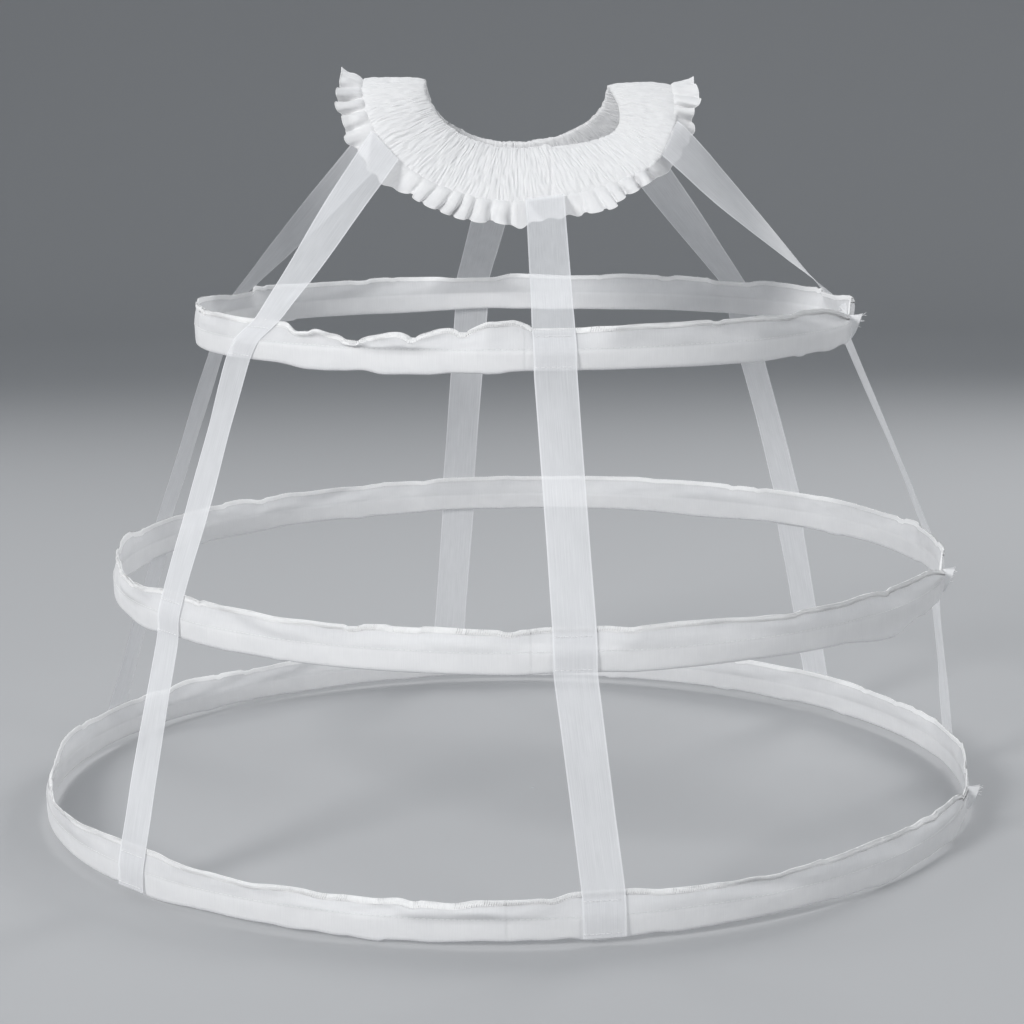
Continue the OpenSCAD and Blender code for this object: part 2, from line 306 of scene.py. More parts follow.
def hoop_stations(i, k):
    """Where tape k passes hoop i: at its edge, its channel's top and its foot."""
    turn = HOOP_TURNS[i][k]
    slant = UPPER_SLANTS[k] if i == 0 else 0.0
    r = HOOP_D[i] / 2 + SEWN_CLEAR + TAPE_T
    return [
        around(i, turn, r + CLOTH_T + top_lean(i, turn), top_height(i, turn)),
        around(i, turn + slant / 2, r + CASING_HALF, CHANNEL_TOP),
        around(i, turn + slant, r + CASING_HALF, 0),
    ]


# The casing's cloth, whose free wall buckles where its edge has sunk

CASING_SECTIONS = (900, 1080, 1200)
WALL_ROWS = 12
CHANNEL_ROWS = 6
# Half the distance between the two layers of cloth, at the channel and at the edge
CHANNEL_CLOTH = 1.45
EDGE_CLOTH = 0.3
# Least height of the edge above the channel
WALL_LEAST = 1.2
# Noise round a hoop: length of a cell in millimetres, rows of cells, and seed of the upper hoop
HOOP_NOISE = {
    "wall_side": (38.0, 1, 11),
    "wall_fold": (17.0, 2, 21),
    "edge_curl": (30.0, 1, 31),
    "crinkle": (9.0, 3, 41),
    "crease": (34.0, 1, 44),
    "wall_puff": (40.0, 2, 51),
    "edge_wave": (22.0, 1, 61),
    "edge_lobe": (15.0, 1, 64),
    "edge_nick": (13.0, 1, 67),
    "channel_pucker": (25.0, 3, 71),
    "droop": (60.0, 1, 81),
    "limp_droop": (14.0, 1, 84),
    "droop_nick": (19.0, 1, 87),
    "channel_seam": (35.0, 1, 97),
}
# Share of its spare length by which the wall buckles: where smooth, where limp, and in limp folds
SMOOTH_BUCKLE = 0.16
LIMP_BUCKLE = 0.22
FOLD_BUCKLE = 0.26
# Other swings of the wall, and the degrees by which a crease slants from channel to edge
EDGE_CURL = 0.9
CRINKLE = 0.35
CREASE = 1.3
CREASE_SLANT = 7.2
WALL_PUFF = 0.4
# Waves, nicks and lobes of the edge, and how far the upper hoop's edge sinks between its puckers
EDGE_WAVE = 0.7
EDGE_NICK = 1.1
EDGE_LOBE = 3.0
PUCKER_SINK = 1.5
PUCKER_ROUND = 0.7
# Puckers of the upper hoop's edge: turn, height, and reach in degrees
PUCKERS = ((327.0, 3.2, 3.6), (337.6, 3.6, 4.4), (346.2, 3.6, 3.4), (356.0, 5.2, 5.2))
# Noise at which a nick starts, and over which it deepens
NICK_FROM = 0.35
NICK_OVER = 0.5
# How far the lower fold hangs below its bone: all round, in nicks and in limp cloth
DROOP = 0.5
DROOP_NICK = 0.9
LIMP_DROOP = 1.6
# Where it hangs further, for each hoop: turn, depth, and reach before and after in degrees
DROOPS = (
    ((340.0, 1.6, 16.0, 16.0), (40.0, 1.4, 14.0, 14.0), (62.0, 1.6, 8.0, 8.0), (205.0, 1.5, 20.0, 20.0)),
    ((53.0, 6.0, 14.0, 9.0), (300.0, 2.4, 9.0, 9.0), (276.0, 3.0, 7.0, 7.0), (150.0, 2.0, 14.0, 14.0)),
    ((346.6, 3.2, 7.0, 0.9), (9.0, 2.2, 3.0, 9.0), (66.0, 3.4, 6.0, 6.0), (47.0, 3.0, 7.0, 7.0),
     (318.0, 2.6, 9.0, 9.0), (210.0, 1.6, 12.0, 12.0)),
)
# Uneven width of the channel, and how square its sides and how round its foot are
CHANNEL_PUCKER = 0.12
CHANNEL_SIDE = 0.35
CHANNEL_FOOT = 1.6


def lengths_round(i, length):
    """How many times a length in millimetres goes round a hoop."""
    return int(HOOP_D[i] * math.pi / length)


def hoop_noise(i, turn, kind, v=0.0):
    length, rows, seed = HOOP_NOISE[kind]
    return noise(turn / 360, v + 0 * turn, lengths_round(i, length), rows, seed + i)


def limp(i, turn):
    """How much the cloth of a casing is crumpled."""
    return CRUMPLE_SHARES[i] * crumpled(i, turn) * slack(i, turn)


def wall_lean(i, turn, s):
    """How far the middle of the free wall leans out, from s = 0 at the channel to 1 at the edge."""
    lost = dip(i, turn) + sunk(i, turn)
    room = np.sqrt(np.maximum(0, FREE_H ** 2 - (FREE_H - lost) ** 2))
    side = hoop_noise(i, turn, "wall_side")
    fold = hoop_noise(i, turn, "wall_fold", s)
    share = mix(SMOOTH_BUCKLE * side, LIMP_BUCKLE * side + FOLD_BUCKLE * fold, limp(i, turn))
    belly = np.sin(math.pi * s)
    curl = EDGE_CURL * s * s * hoop_noise(i, turn, "edge_curl")
    crinkle = CRINKLE * s * hoop_noise(i, turn, "crinkle", s)
    crease = CREASE * belly * hoop_noise(i, turn + CREASE_SLANT * s, "crease")
    return s * top_lean(i, turn) + room * belly * share + slack(i, turn) * (curl + crinkle + crease)


def wall_gap(i, turn, s):
    """Half the distance between the two layers of the wall."""
    swell = 1 + hoop_noise(i, turn, "wall_puff", s)
    puff = WALL_PUFF * slack(i, turn) * np.sin(math.pi * s) * swell
    return mix(CHANNEL_CLOTH, EDGE_CLOTH, ease(s)) + puff


def nicks(i, turn, kind):
    """Small nicks, from 0 to 1, at uneven places round a hoop."""
    return ease((hoop_noise(i, turn, kind) - NICK_FROM) / NICK_OVER)


def puckers(turn):
    """Round lobes of the upper hoop's sunk edge, pinched between one another."""
    rise = 0 * turn
    for at, height, reach in PUCKERS:
        lobe = np.maximum(0, 1 - (apart(turn, at) / reach) ** 2) ** PUCKER_ROUND
        rise = np.maximum(rise, height * lobe)
    return rise


def edge_height(i, turn):
    """Height of the bound edge: waved and nicked, and in lobes where it is crumpled."""
    wave = EDGE_WAVE * hoop_noise(i, turn, "edge_wave") - EDGE_NICK * nicks(i, turn, "edge_nick")
    lobes = EDGE_LOBE * limp(i, turn) * hoop_noise(i, turn, "edge_lobe")
    if i == 0:
        lobes = lobes + puckers(turn) - PUCKER_SINK * limp(i, turn)
    return np.maximum(top_height(i, turn) + slack(i, turn) * wave + lobes, CHANNEL_TOP + WALL_LEAST)


def droop(i, turn):
    """How far the lower fold hangs below the bone."""
    even = DROOP * (1 + hoop_noise(i, turn, "droop")) + DROOP_NICK * nicks(i, turn, "droop_nick")
    depth = slack(i, turn) * even + LIMP_DROOP * limp(i, turn) * (1 + hoop_noise(i, turn, "limp_droop"))
    for at, most, before, after in DROOPS[i]:
        reach = np.where(sin_deg(turn - at) < 0, before, after)
        depth = np.maximum(depth, most * (1 - ease(apart(turn, at) / reach)))
    return depth


def wall_points(i, turn, s, side, off=0.0):
    """Points on or off the outer (side 1) or inner (side -1) layer of a casing's free wall."""
    height = mix(CHANNEL_TOP, edge_height(i, turn), s)
    out = wall_lean(i, turn, s) + side * wall_gap(i, turn, s) + off
    return around(i, turn, HOOP_D[i] / 2 + out, height)


def channel_points(i, turn, share):
    """Points round the channel, from its outer top (share 0) under the bone to its inner top (1)."""
    pucker = 1 + CHANNEL_PUCKER * slack(i, turn) * hoop_noise(i, turn, "channel_pucker", share)
    side = np.cos(math.pi * share)
    half = CHANNEL_CLOTH * np.sign(side) * np.abs(side) ** CHANNEL_SIDE
    depth = 1 - np.abs(2 * share - 1) ** CHANNEL_FOOT
    low = CHANNEL_TOP * (1 - depth) - droop(i, turn) * depth
    return around(i, turn, HOOP_D[i] / 2 + half * pucker, low)


def casing_surface(i):
    """Points and cloth places over a casing, from its outer edge down, under the bone and up again."""
    turn = even_turns(CASING_SECTIONS[i])
    s = np.linspace(1, 0, WALL_ROWS)[None, :]
    shares = np.linspace(0, 1, 2 * CHANNEL_ROWS + 1)[None, 1:-1]
    outer = wall_points(i, turn, s, 1)
    under = channel_points(i, turn, shares)
    inner = wall_points(i, turn, s[:, ::-1], -1)
    points = np.concatenate([outer, under, inner], axis=1)
    wall = FREE_H * (1 - s)
    channel = FREE_H + CHANNEL_TOP * (1 - np.abs(2 * shares - 1))
    from_edge = np.concatenate([wall, channel, wall[:, ::-1]], axis=1)
    return points, cloth_places(from_edge, arc(i, turn))


def make_casing(i, materials):
    points, cloth = casing_surface(i)
    name = HOOPS[i] + "_hoop_casing_cloth"
    piece = grid_object(name, points, cloth, materials["casing"], close_rows=True)
    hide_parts(HOOPS[i] + "_hoop_casing")
    return piece


# Trim of the casings

BINDING_H = 2.8
# Most of the wall's height that the binding covers
BINDING_MOST = 0.7
# Section of the binding: shares of its depth below the edge, and distances off the cloth
BINDING_DOWN = (1.0, 0.7, 0.35, 0.05, -0.04, -0.04, 0.05, 0.35, 0.7, 1.0)
BINDING_OFF = (0.08, 0.16, 0.2, 0.18, 0.08, -0.08, -0.18, -0.2, -0.16, -0.08)
# How far past the edge, as a share of the wall, trim may lie
PAST_EDGE = 1.05

OVERLOCK_PITCH = 1.35
OVERLOCK_THREAD = 0.19
OVERLOCK_RAISED = 0.2
OVERLOCK_OVER = 0.05
OVERLOCK_LOOP = 0.35
OVERLOCK_UNEVEN = 0.12
OVERLOCK_DEPTH_SEED = 91
OVERLOCK_LOOP_SEED = 94

SEAM_STITCH_PITCH = 3.4
SEAM_STITCH_SHARE = 0.76
SEAM_STITCH_POINTS = 4
SEAM_STITCH_UP = 0.6
SEAM_STITCH_WANDER = 0.35
SEAM_STITCH_THREAD = 0.11

# The gathered end of the upper casing inside the hoop: first turn and span in degrees
FOLD_FIRST = 78.0
FOLD_SPAN = 9.0
FOLD_COUNT = 3.4
FOLD_SKEW = 0.11
FOLD_SEED = 171
FOLD_EDGE_SEED = 172

TAB_FOOT = 1.0
TAB_NARROW = 0.15
TAB_TURN = 0.35
TAB_TIP_RISE = 1.2
TAB_CURL_SEED = 151
FRAY_SEED = 161
FRAY_COUNT = 7
FRAY_POINTS = 6
FRAY_THREAD = 0.13
FRAY_AIM = (1.0, -0.3, 0.1)
FRAY_SPREAD = 0.5


def edge_points(i, turn, down, off):
    """Points on the wall so far below the edge and so far off its outer (or, below 0, inner) layer."""
    s = 1 - down / (edge_height(i, turn) - CHANNEL_TOP)
    return wall_points(i, turn, np.clip(s, 0, PAST_EDGE), np.sign(off), off)


def binding_depth(i, turn):
    return np.minimum(BINDING_H, BINDING_MOST * (edge_height(i, turn) - CHANNEL_TOP))


def make_binding(i, materials):
    """The dense overlocked strip that binds the edge of a casing."""
    turn = even_turns(CASING_SECTIONS[i])
    down = np.array([BINDING_DOWN])
    points = edge_points(i, turn, binding_depth(i, turn) * down, np.array([BINDING_OFF]))
    cloth = cloth_places(BINDING_H * down, arc(i, turn))
    name = HOOPS[i] + "_edge_binding"
    return grid_object(name, points, cloth, materials["binding"], close_rows=True)


def make_overlock(i, materials):
    """The zigzag thread of the overlocked edge, on its outer side and over the top."""
    count = lengths_round(i, OVERLOCK_PITCH)
    turn = np.arange(count) * 360 / count
    step = 90 / count
    uneven = noise(turn / 360, 0 * turn, count // 5, 1, OVERLOCK_DEPTH_SEED + i)
    depth = binding_depth(i, turn) * (1 + OVERLOCK_UNEVEN * uneven)
    raised = OVERLOCK_RAISED + 0 * turn
    loose = 1 + noise(turn / 360, 0 * turn, count // 2, 1, OVERLOCK_LOOP_SEED + i)
    over = np.array([0.0, 0.0, OVERLOCK_LOOP]) * loose[:, None]
    loops = [
        edge_points(i, turn, 0 * turn, 0 * turn + OVERLOCK_OVER) + over,
        edge_points(i, turn + step, depth / 2, raised),
        edge_points(i, turn + 2 * step, depth, raised),
        edge_points(i, turn + 3 * step, depth / 2, raised),
    ]
    path = np.stack(loops, 1).reshape(-1, 3)
    name = HOOPS[i] + "_overlock"
    return thread_object(name, [path], OVERLOCK_THREAD, materials, closed=True, sides=3)


def make_channel_seam(i, materials):
    """The row of stitches along the top of the bone's channel, on the outer layer."""
    count = lengths_round(i, SEAM_STITCH_PITCH)
    along = np.linspace(0, 1, SEAM_STITCH_POINTS)
    lift = 0.02 + 0.07 * np.sin(math.pi * along)
    threads = []
    for n in range(count):
        turn = (n + SEAM_STITCH_SHARE * along) * 360 / count
        wander = SEAM_STITCH_WANDER * hoop_noise(i, turn, "channel_seam")
        threads.append(wall_points(i, turn, (SEAM_STITCH_UP + wander) / FREE_H, 1, lift))
    name = HOOPS[i] + "_channel_seam"
    return thread_object(name, threads, SEAM_STITCH_THREAD, materials, sides=3)


def make_seam_fold(materials):
    """The gathered end of the upper casing, in folds inside the hoop."""
    turn = FOLD_FIRST + FOLD_SPAN * np.linspace(0, 1, 25)[:, None]
    up = np.linspace(0, 1, 45)[None, :]
    side = np.sin(math.pi * (turn - FOLD_FIRST) / FOLD_SPAN)
    fold = np.abs(np.sin(math.pi * (FOLD_COUNT * up + FOLD_SKEW * (turn - FOLD_FIRST)))) ** 0.7
    inward = 1.9 + side ** 0.6 * (1.2 + 6.0 * fold * np.sin(math.pi * up) ** 0.4)
    inward = inward + 0.7 * side * noise(turn / FOLD_SPAN, up, 9, 11, FOLD_SEED)
    height = 1.5 + (14.0 + 6.0 * side) * up + 0.9 * noise(turn / FOLD_SPAN, up, 6, 7, FOLD_EDGE_SEED)
    points = around(0, turn, HOOP_D[0] / 2 - inward, height)
    cloth = cloth_places(14 * up, turn * 3.7)
    return grid_object("upper_seam_fold", points, cloth, materials["casing"])


def tab_point(i, out, up, round_share):
    """A point of the seam tab, by shares of its length, height and turn."""
    height = edge_height(i, np.float64(SEAM_TURN))
    length = TAB_L * mix(TAB_NARROW, 1.0, up ** 0.8)
    turn = SEAM_TURN + TAB_TURN * round_share
    r = HOOP_D[i] / 2 + CHANNEL_CLOTH * (1 - up) + out * length
    return around(i, turn, r, TAB_FOOT + up * (height - TAB_FOOT) + TAB_TIP_RISE * out * out)


def frayed_threads(i):
    """Loose thread ends at the tip of a seam tab."""
    rng = np.random.default_rng(FRAY_SEED + i)
    s = np.linspace(0, 1, FRAY_POINTS)[:, None]
    threads = []
    for _ in range(FRAY_COUNT):
        start = tab_point(i, 1.0, rng.uniform(0.35, 1.0), rng.uniform(-1.5, 1.5))
        aim = np.array(FRAY_AIM) + rng.normal(0, FRAY_SPREAD, 3)
        length = rng.uniform(1.0, 3.2)
        bend = rng.normal(0, FRAY_SPREAD, 3)
        threads.append(start + s * length * unit(aim) + s * s * bend)
    return threads


def make_tab(i, materials):
    """The pointed seam allowance: two layers that curl apart, with frayed ends."""
    out, up = np.meshgrid(np.linspace(0, 1, 9), np.linspace(0, 1, 13), indexing="ij")
    uneven = 1 + 0.5 * noise(up, out, 6, 2, TAB_CURL_SEED + i)
    cloth = cloth_places(FREE_H - FREE_H * up, TAB_L * out)
    pieces = []
    for side, ending in ((-1, "_seam_tab_a"), (1, "_seam_tab_b")):
        curl = side * (0.5 + 1.6 * out ** 2 * uneven)
        points = tab_point(i, out, up, curl)
        pieces.append(grid_object(HOOPS[i] + ending, points, cloth, materials["casing"]))
    name = HOOPS[i] + "_frayed_ends"
    frays = thread_object(name, frayed_threads(i), FRAY_THREAD, materials, sides=3)
    return pieces + [frays]


# Collar: the band hangs over two pegs at its sides, so it is an oval ring folded along its long axis

def hang(c):
    """How far the collar hangs down, from 0 over the pegs to 1 at the front and back."""
    low = math.sqrt(1 + FOLD_ROUND ** 2) - FOLD_ROUND
    return (np.sqrt(c * c + FOLD_ROUND ** 2) - FOLD_ROUND) / low


def slipped(turn):
    return 1 - ease(apart(turn, SLIP_TURN) / SLIP_REACH)


def collar(turn, share):
    """A point of the collar's middle surface: share is 0 at the top edge, 1 at the seam."""
    c = cos_deg(turn)
    k = hang(c)
    down = share * BAND_H
    half_w = WAIST_W / 2 + down
    half_d = WAIST_D / 2 + down * math.sin(math.radians(BAND_TILT))
    sag = c * np.where(c > 0, FRONT_SAG, BACK_LIFT)
    drop = WAIST_RISE + down * math.cos(math.radians(BAND_TILT)) + sag
    swing = mix(TOP_SWING, SEAM_SWING, share)
    out = c * np.sqrt((1 + swing ** 2) / (c * c + swing ** 2))
    slip = FRONT_SLIP * slipped(turn)
    side = half_w * np.sign(sin_deg(turn)) * np.sqrt(np.maximum(0, 1 - k * k))
    x = WAIST_SWAY + side + slip * mix(1, 0.45, share)
    low = slip * mix(0.6, 0.5, share) + RIGHT_LOW * np.maximum(0, sin_deg(turn)) * (1 - k)
    return np.stack(np.broadcast_arrays(x, -half_d * out, WAIST_RISE - drop * k - low), -1)


def collar_out(turn, share):
    """The way out of the collar's surface."""
    across = collar(turn, share + 0.02) - collar(turn, share - 0.02)
    round_it = collar(turn + 0.2, share) - collar(turn - 0.2, share)
    return unit(np.cross(across, round_it))


def off_collar(turn, share, d):
    return collar(turn, share) + np.asarray(d)[..., None] * collar_out(turn, share)


def tape_lift(k):
    """How far the band rises under a tape's corners above the middle of its start."""
    turn = WAIST_TURNS[k]
    out = collar_out(turn, 1.0)
    top = 1 - 2 * TAPE_OVERLAP / BAND_H
    reach = TAPE_W * 0.65 / np.linalg.norm(collar(turn + 1, 1.0) - collar(turn, 1.0))
    middle = off_collar(turn, 1.0, BAND_HALF)
    corners = [(side, share) for side in (-1, -0.5, 0.5, 1) for share in (top, 1.0)]
    rises = [(off_collar(turn + side * reach, share, BAND_HALF) - middle) @ out for side, share in corners]
    return max(0.0, *rises)


def tape_start(k):
    raised = BAND_HALF + PLEAT + SEWN_CLEAR + TAPE_T + tape_lift(k)
    return off_collar(WAIST_TURNS[k], 1.0, raised)


def tape_pull(k):
    """The way a tape is pulled, from the band to the upper hoop."""
    return unit(hoop_stations(0, k)[0] - tape_start(k))


def tape_lead(k):
    """Degrees by which a tape runs round the collar over the length of the ruffle."""
    turn = WAIST_TURNS[k]
    pull = tape_pull(k)
    round_it = collar(turn + 1, 1.0) - collar(turn, 1.0)
    down = unit(collar(turn, 1.1) - collar(turn, 1.0))
    return RUFFLE_H * (pull @ round_it) / (pull @ down) / (round_it @ round_it)


def tape_dive(k):
    return max(0.0, -tape_pull(k) @ collar_out(WAIST_TURNS[k], 1.0))


TAPE_LEADS = [tape_lead(k) for k in EVERY_TAPE]
TAPE_DIVES = [tape_dive(k) for k in EVERY_TAPE]


def pressed(turn, s):
    """How much each tape holds the ruffle down at a turn."""
    spots = [apart(turn, WAIST_TURNS[k] + s * TAPE_LEADS[k]) for k in EVERY_TAPE]
    return [1 - ease((spot - PRESS_SPAN) / PRESS_FADE) for spot in spots]


# Cloth of the ruffle and the band

COLLAR_SECTIONS = 1740
RUFFLE_ROWS = 13
BAND_ROWS = 26
# Millimetres of cloth for each degree, for the weave
RUFFLE_WEAVE = 1.6
BAND_WEAVE = 1.3
# Noise round the collar: cells round it, rows of cells down it, and seed
COLLAR_NOISE = {
    "frill": (120, 3, 102),
    "lobe_width": (31, 1, 103),
    "lobe_depth": (43, 1, 104),
    "lobe_lean": (41, 1, 105),
    "hem": (53, 1, 106),
    "hem_frill": (210, 2, 107),
    "drift": (70, 4, 111),
    "pleats": (290, 6, 112),
    "creases": (520, 9, 113),
    "swell": (64, 3, 114),
    "top_edge": (90, 1, 115),
}
RUFFLE_LOBES = 64
# Places where the ruffle stands up: turn, height, and reach in degrees
FLARES = ((272.0, 8.0, 21.0), (250.0, 2.5, 8.0), (92.0, 6.0, 13.0))
FLARE_TUCK = 0.035
# Where the ruffle stands over a peg as one broad lobe
BROAD_TURNS = (272.0, 91.0)
BROAD_REACH = 14.0
# How far the ruffle reaches up under the band's edge
RUFFLE_UNDER = 2.4
# How far out it lies there and where it comes out, and the share of its length in between
SEWN_IN = 0.9
SEWN_OUT = 2.3
SEWN_SHARE = 0.14
HEM_THREAD = 0.3

FRONT_SEAM_TOP = 18.0
FRONT_SEAM_FOOT = 11.0
FRONT_SEAM_W = 0.6
# Degrees by which the band's gathers drift aside
GATHER_DRIFT = 0.792
# Degrees by which the gathers of the inner layer are shifted
INNER_SHIFT = 1.1
BAND_CLOTH = 0.5


def collar_noise(turn, kind, v=0.0):
    cells, rows, seed = COLLAR_NOISE[kind]
    return noise(turn / 360, v + 0 * turn, cells, rows, seed)


def ruffle_phase(turn):
    """Phase of the gathers, in degrees, with lobes of uneven width."""
    return RUFFLE_LOBES * turn + 150 * collar_noise(turn, "lobe_width") + 60 * sin_deg(3 * turn)


def ruffle_broad(turn):
    """1 at the broad lobes that stand up at both sides, 0 away from them."""
    return np.max([1 - ease(apart(turn, at) / BROAD_REACH) for at in BROAD_TURNS], axis=0)


def ruffle_size(turn):
    """Uneven depth of the gathers, deepest at the front and back."""
    hanging = 0.65 + 0.2 * np.abs(cos_deg(turn))
    size = RUFFLE_WAVE * hanging * (1 + 0.8 * collar_noise(turn, "lobe_depth"))
    return size * (1 - 0.75 * ruffle_broad(turn))


def ruffle_fold(turn):
    """Swing of the gathers: round lobes outwards with narrow valleys between them."""
    half = cos_deg(ruffle_phase(turn) / 2)
    return ruffle_size(turn) * (2.1 * np.sqrt(half * half + 0.008) - 1.15)


def ruffle_free(turn, s):
    return 1 - np.max(pressed(turn, s), axis=0)


def ruffle_lap(turn, s):
    """Degrees by which the gathers swing sideways over their valleys."""
    phase = ruffle_phase(turn)
    lobes = 0.55 * sin_deg(phase) + 0.3 * sin_deg(2 * phase)
    lean = 2.4 * s * collar_noise(turn, "lobe_lean")
    return ruffle_free(turn, s) * s * (lobes + lean) * (1 - 0.85 * ruffle_broad(turn))


def ruffle_flare(turn):
    return sum(height * (1 - ease(apart(turn, at) / reach)) for at, height, reach in FLARES)


def ruffle_swing(turn, s):
    """How far the ruffle swings out, from s = 0 under the band to 1 at its hem."""
    press = pressed(turn, s)
    depths = [press[k] * (RUFFLE_H * TAPE_DIVES[k] + PRESS_DEPTH) for k in EVERY_TAPE]
    frill = 1.6 * collar_noise(turn, "frill", s) + 0.9 * s * collar_noise(turn, "hem_frill", s)
    grown = mix(0.24, 1.0, s)
    gathers = grown * ruffle_fold(turn) + s * (frill + ruffle_flare(turn))
    sewn = mix(SEWN_IN, SEWN_OUT, ease(s / SEWN_SHARE)) * (1 - s)
    rise = mix(0.5, 1, ease(s / 0.12))
    return sewn + rise * ruffle_free(turn, s) * gathers - s * np.max(depths, axis=0)


def ruffle_share(turn, s):
    """Share of the collar where the ruffle's rows lie, lower at each lobe."""
    first = 1 - RUFFLE_UNDER / BAND_H
    hem = 0.07 * cos_deg(ruffle_phase(turn)) + 0.16 * collar_noise(turn, "hem")
    scallop = hem * (1 - ruffle_broad(turn))
    tuck = SLIP_TUCK * slipped(turn) + FLARE_TUCK * ruffle_flare(turn)
    last = 1 + RUFFLE_H / BAND_H * (0.98 + scallop - tuck)
    return mix(first, last, s)


def ruffle_aside(turn, share):
    """The way the gathers swing: level at the front and back, and up at the sides."""
    out = collar_out(turn, share)
    level = np.sqrt(np.abs(cos_deg(turn)))[..., None] * np.array([0.0, 0.0, 0.9])
    return unit(out * (1 - level))


def make_ruffle(materials):
    turn = even_turns(COLLAR_SECTIONS)
    s = np.linspace(0, 1, RUFFLE_ROWS)[None, :]
    laid = turn + ruffle_lap(turn, s)
    share = ruffle_share(turn, s)
    points = collar(laid, share) + ruffle_swing(turn, s)[..., None] * ruffle_aside(laid, share)
    cloth = cloth_places(RUFFLE_H * (1 - s), turn * RUFFLE_WEAVE)
    piece = grid_object("ruffle_cloth", points, cloth, materials["ruffle"], close_rows=True)
    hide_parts("waist_ruffle")
    edge = [points[:, -1]]
    hem = thread_object("ruffle_hem", edge, HEM_THREAD, materials, closed=True)
    return piece, hem


def past_front_seam(turn, share):
    """Degrees to the right of the seam that closes the band at the front."""
    return np.mod(turn - mix(FRONT_SEAM_TOP, FRONT_SEAM_FOOT, share) + 180, 360) - 180


def band_relief(turn, share):
    """Gathers of the band: fine, short and uneven creases."""
    drifted = turn + GATHER_DRIFT * collar_noise(turn, "drift", share)
    pleats = 1 - 1.9 * np.abs(collar_noise(drifted, "pleats", share))
    creases = collar_noise(drifted, "creases", share)
    swell = collar_noise(turn, "swell", share)
    seam = np.exp(-(past_front_seam(turn, share) / FRONT_SEAM_W) ** 2)
    return 0.5 * pleats + 0.24 * creases + 0.4 * swell - seam


def band_top(turn):
    """Share at which the band's cloth starts, a step lower right of the front seam."""
    past = past_front_seam(turn, 0.0)
    step = 0.08 * ease(past / FRONT_SEAM_W) * (1 - ease(past / 40))
    return step + 0.012 * collar_noise(turn, "top_edge")


def make_band(materials):
    turn = even_turns(COLLAR_SECTIONS)
    v = np.linspace(0, 1, BAND_ROWS)[None, :]
    share = mix(band_top(turn), 1, v)
    plump = BAND_HALF * (1 - np.abs(2 * v - 1) ** 4) + BAND_CLOTH
    outer = off_collar(turn, share, plump + band_relief(turn, v))
    inner = off_collar(turn, share, -plump - band_relief(turn + INNER_SHIFT, v))
    points = np.concatenate([outer, inner[:, ::-1]], axis=1)
    cloth = cloth_places(np.concatenate([v, 1 + v], axis=1) * BAND_H, turn * BAND_WEAVE)
    piece = grid_object("waistband_cloth", points, cloth, materials["band"],
                        close_rows=True, close_columns=True)
    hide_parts("waistband")
    return piece


# Tapes

TAPE_COLUMNS = 13
TAPE_STEP = 3.0
# Corner points of a tape: two at its start, then its slope, then three at each hoop
FIRST_STATION = TAPE_STEPS + 1
STATIONS = 3
# Lengths at a held point where the tape lies still, and over which it then comes free
STILL = 4.0
STILL_EASE = 40.0
# Swings of the free tape, and the share of its width that it loses there
TAPE_WAVE = 0.8
TAPE_TWIST = 0.5
TAPE_CUP = 0.9
TAPE_WAIST = 0.015
TAPE_WAVE_SEED = 121
TAPE_TWIST_SEED = 131
TAPE_CUP_SEED = 141
# The visible tape starts this far above the band's seam, and follows its slope over the blend
SEAM_MARGIN = 1.0
SEAM_BLEND = 45.0
SEAM_STEEPEST = 1.2

STITCH_L = 2.4
STITCH_GAP = 0.7
STITCH_POINTS = 5
STITCH_LIFT = 0.05
STITCH_ARCH = 0.16
STITCH_THREAD = 0.15
STITCH_MARGIN = 2.0
# Where the two rows of stitches lie, as shares of the way from edge to channel and on to the foot
UPPER_ROW = 0.36
LOWER_ROW = 0.8


def tape_along(k):
    """The way a tape starts on the band."""
    out = collar_out(WAIST_TURNS[k], 1.0)
    pull = tape_pull(k)
    return unit(pull - (pull @ out) * out)


def tape_frame(k):
    """A tape's corner points and the way across it there, as in part.scad."""
    anchor = tape_start(k)
    along = tape_along(k)
    stations = [hoop_stations(i, k) for i in EVERY_HOOP]
    square = np.cross(collar_out(WAIST_TURNS[k], 1.0), along)
    level = [np.array([cos_deg(turns[k]), sin_deg(turns[k]), 0.0]) for turns in HOOP_TURNS]
    slope = np.arange(TAPE_STEPS) / TAPE_STEPS
    path = [anchor - TAPE_OVERLAP * along] + [mix(anchor, stations[0][0], s) for s in slope]
    across = [square] + [unit(mix(square, level[0], s)) for s in slope]
    for i in EVERY_HOOP:
        path += stations[i]
        across += [level[i]] * STATIONS
    return np.array(path), np.array(across)


def pick(values, at, places):
    """Rows of values, given at the distances at, taken at other places."""
    return np.stack([np.interp(places, at, values[:, a]) for a in range(3)], -1)


def resample(path, values, step):
    """Even points along a path, the values there, and the distances of these and of the corners."""
    lengths = np.concatenate([[0], np.cumsum(np.linalg.norm(np.diff(path, axis=0), axis=1))])
    at = np.linspace(0, lengths[-1], int(lengths[-1] / step) + 1)
    return pick(path, lengths, at), unit(pick(values, lengths, at)), at, lengths


def soften(points, passes):
    for _ in range(passes):
        points[1:-1] = (points[:-2] + 2 * points[1:-1] + points[2:]) / 4
    return points


def stitch_row(middle, across, out, width):
    """Short threads in a row across a tape, lifted off its outer face."""
    pitch = STITCH_L + STITCH_GAP
    s = np.linspace(0, 1, STITCH_POINTS)[:, None]
    lift = out * (STITCH_LIFT + STITCH_ARCH * np.sin(math.pi * s))
    starts = [-width / 2 + n * pitch for n in range(int(width / pitch))]
    return [middle + across * (start + s * STITCH_L) + lift for start in starts]


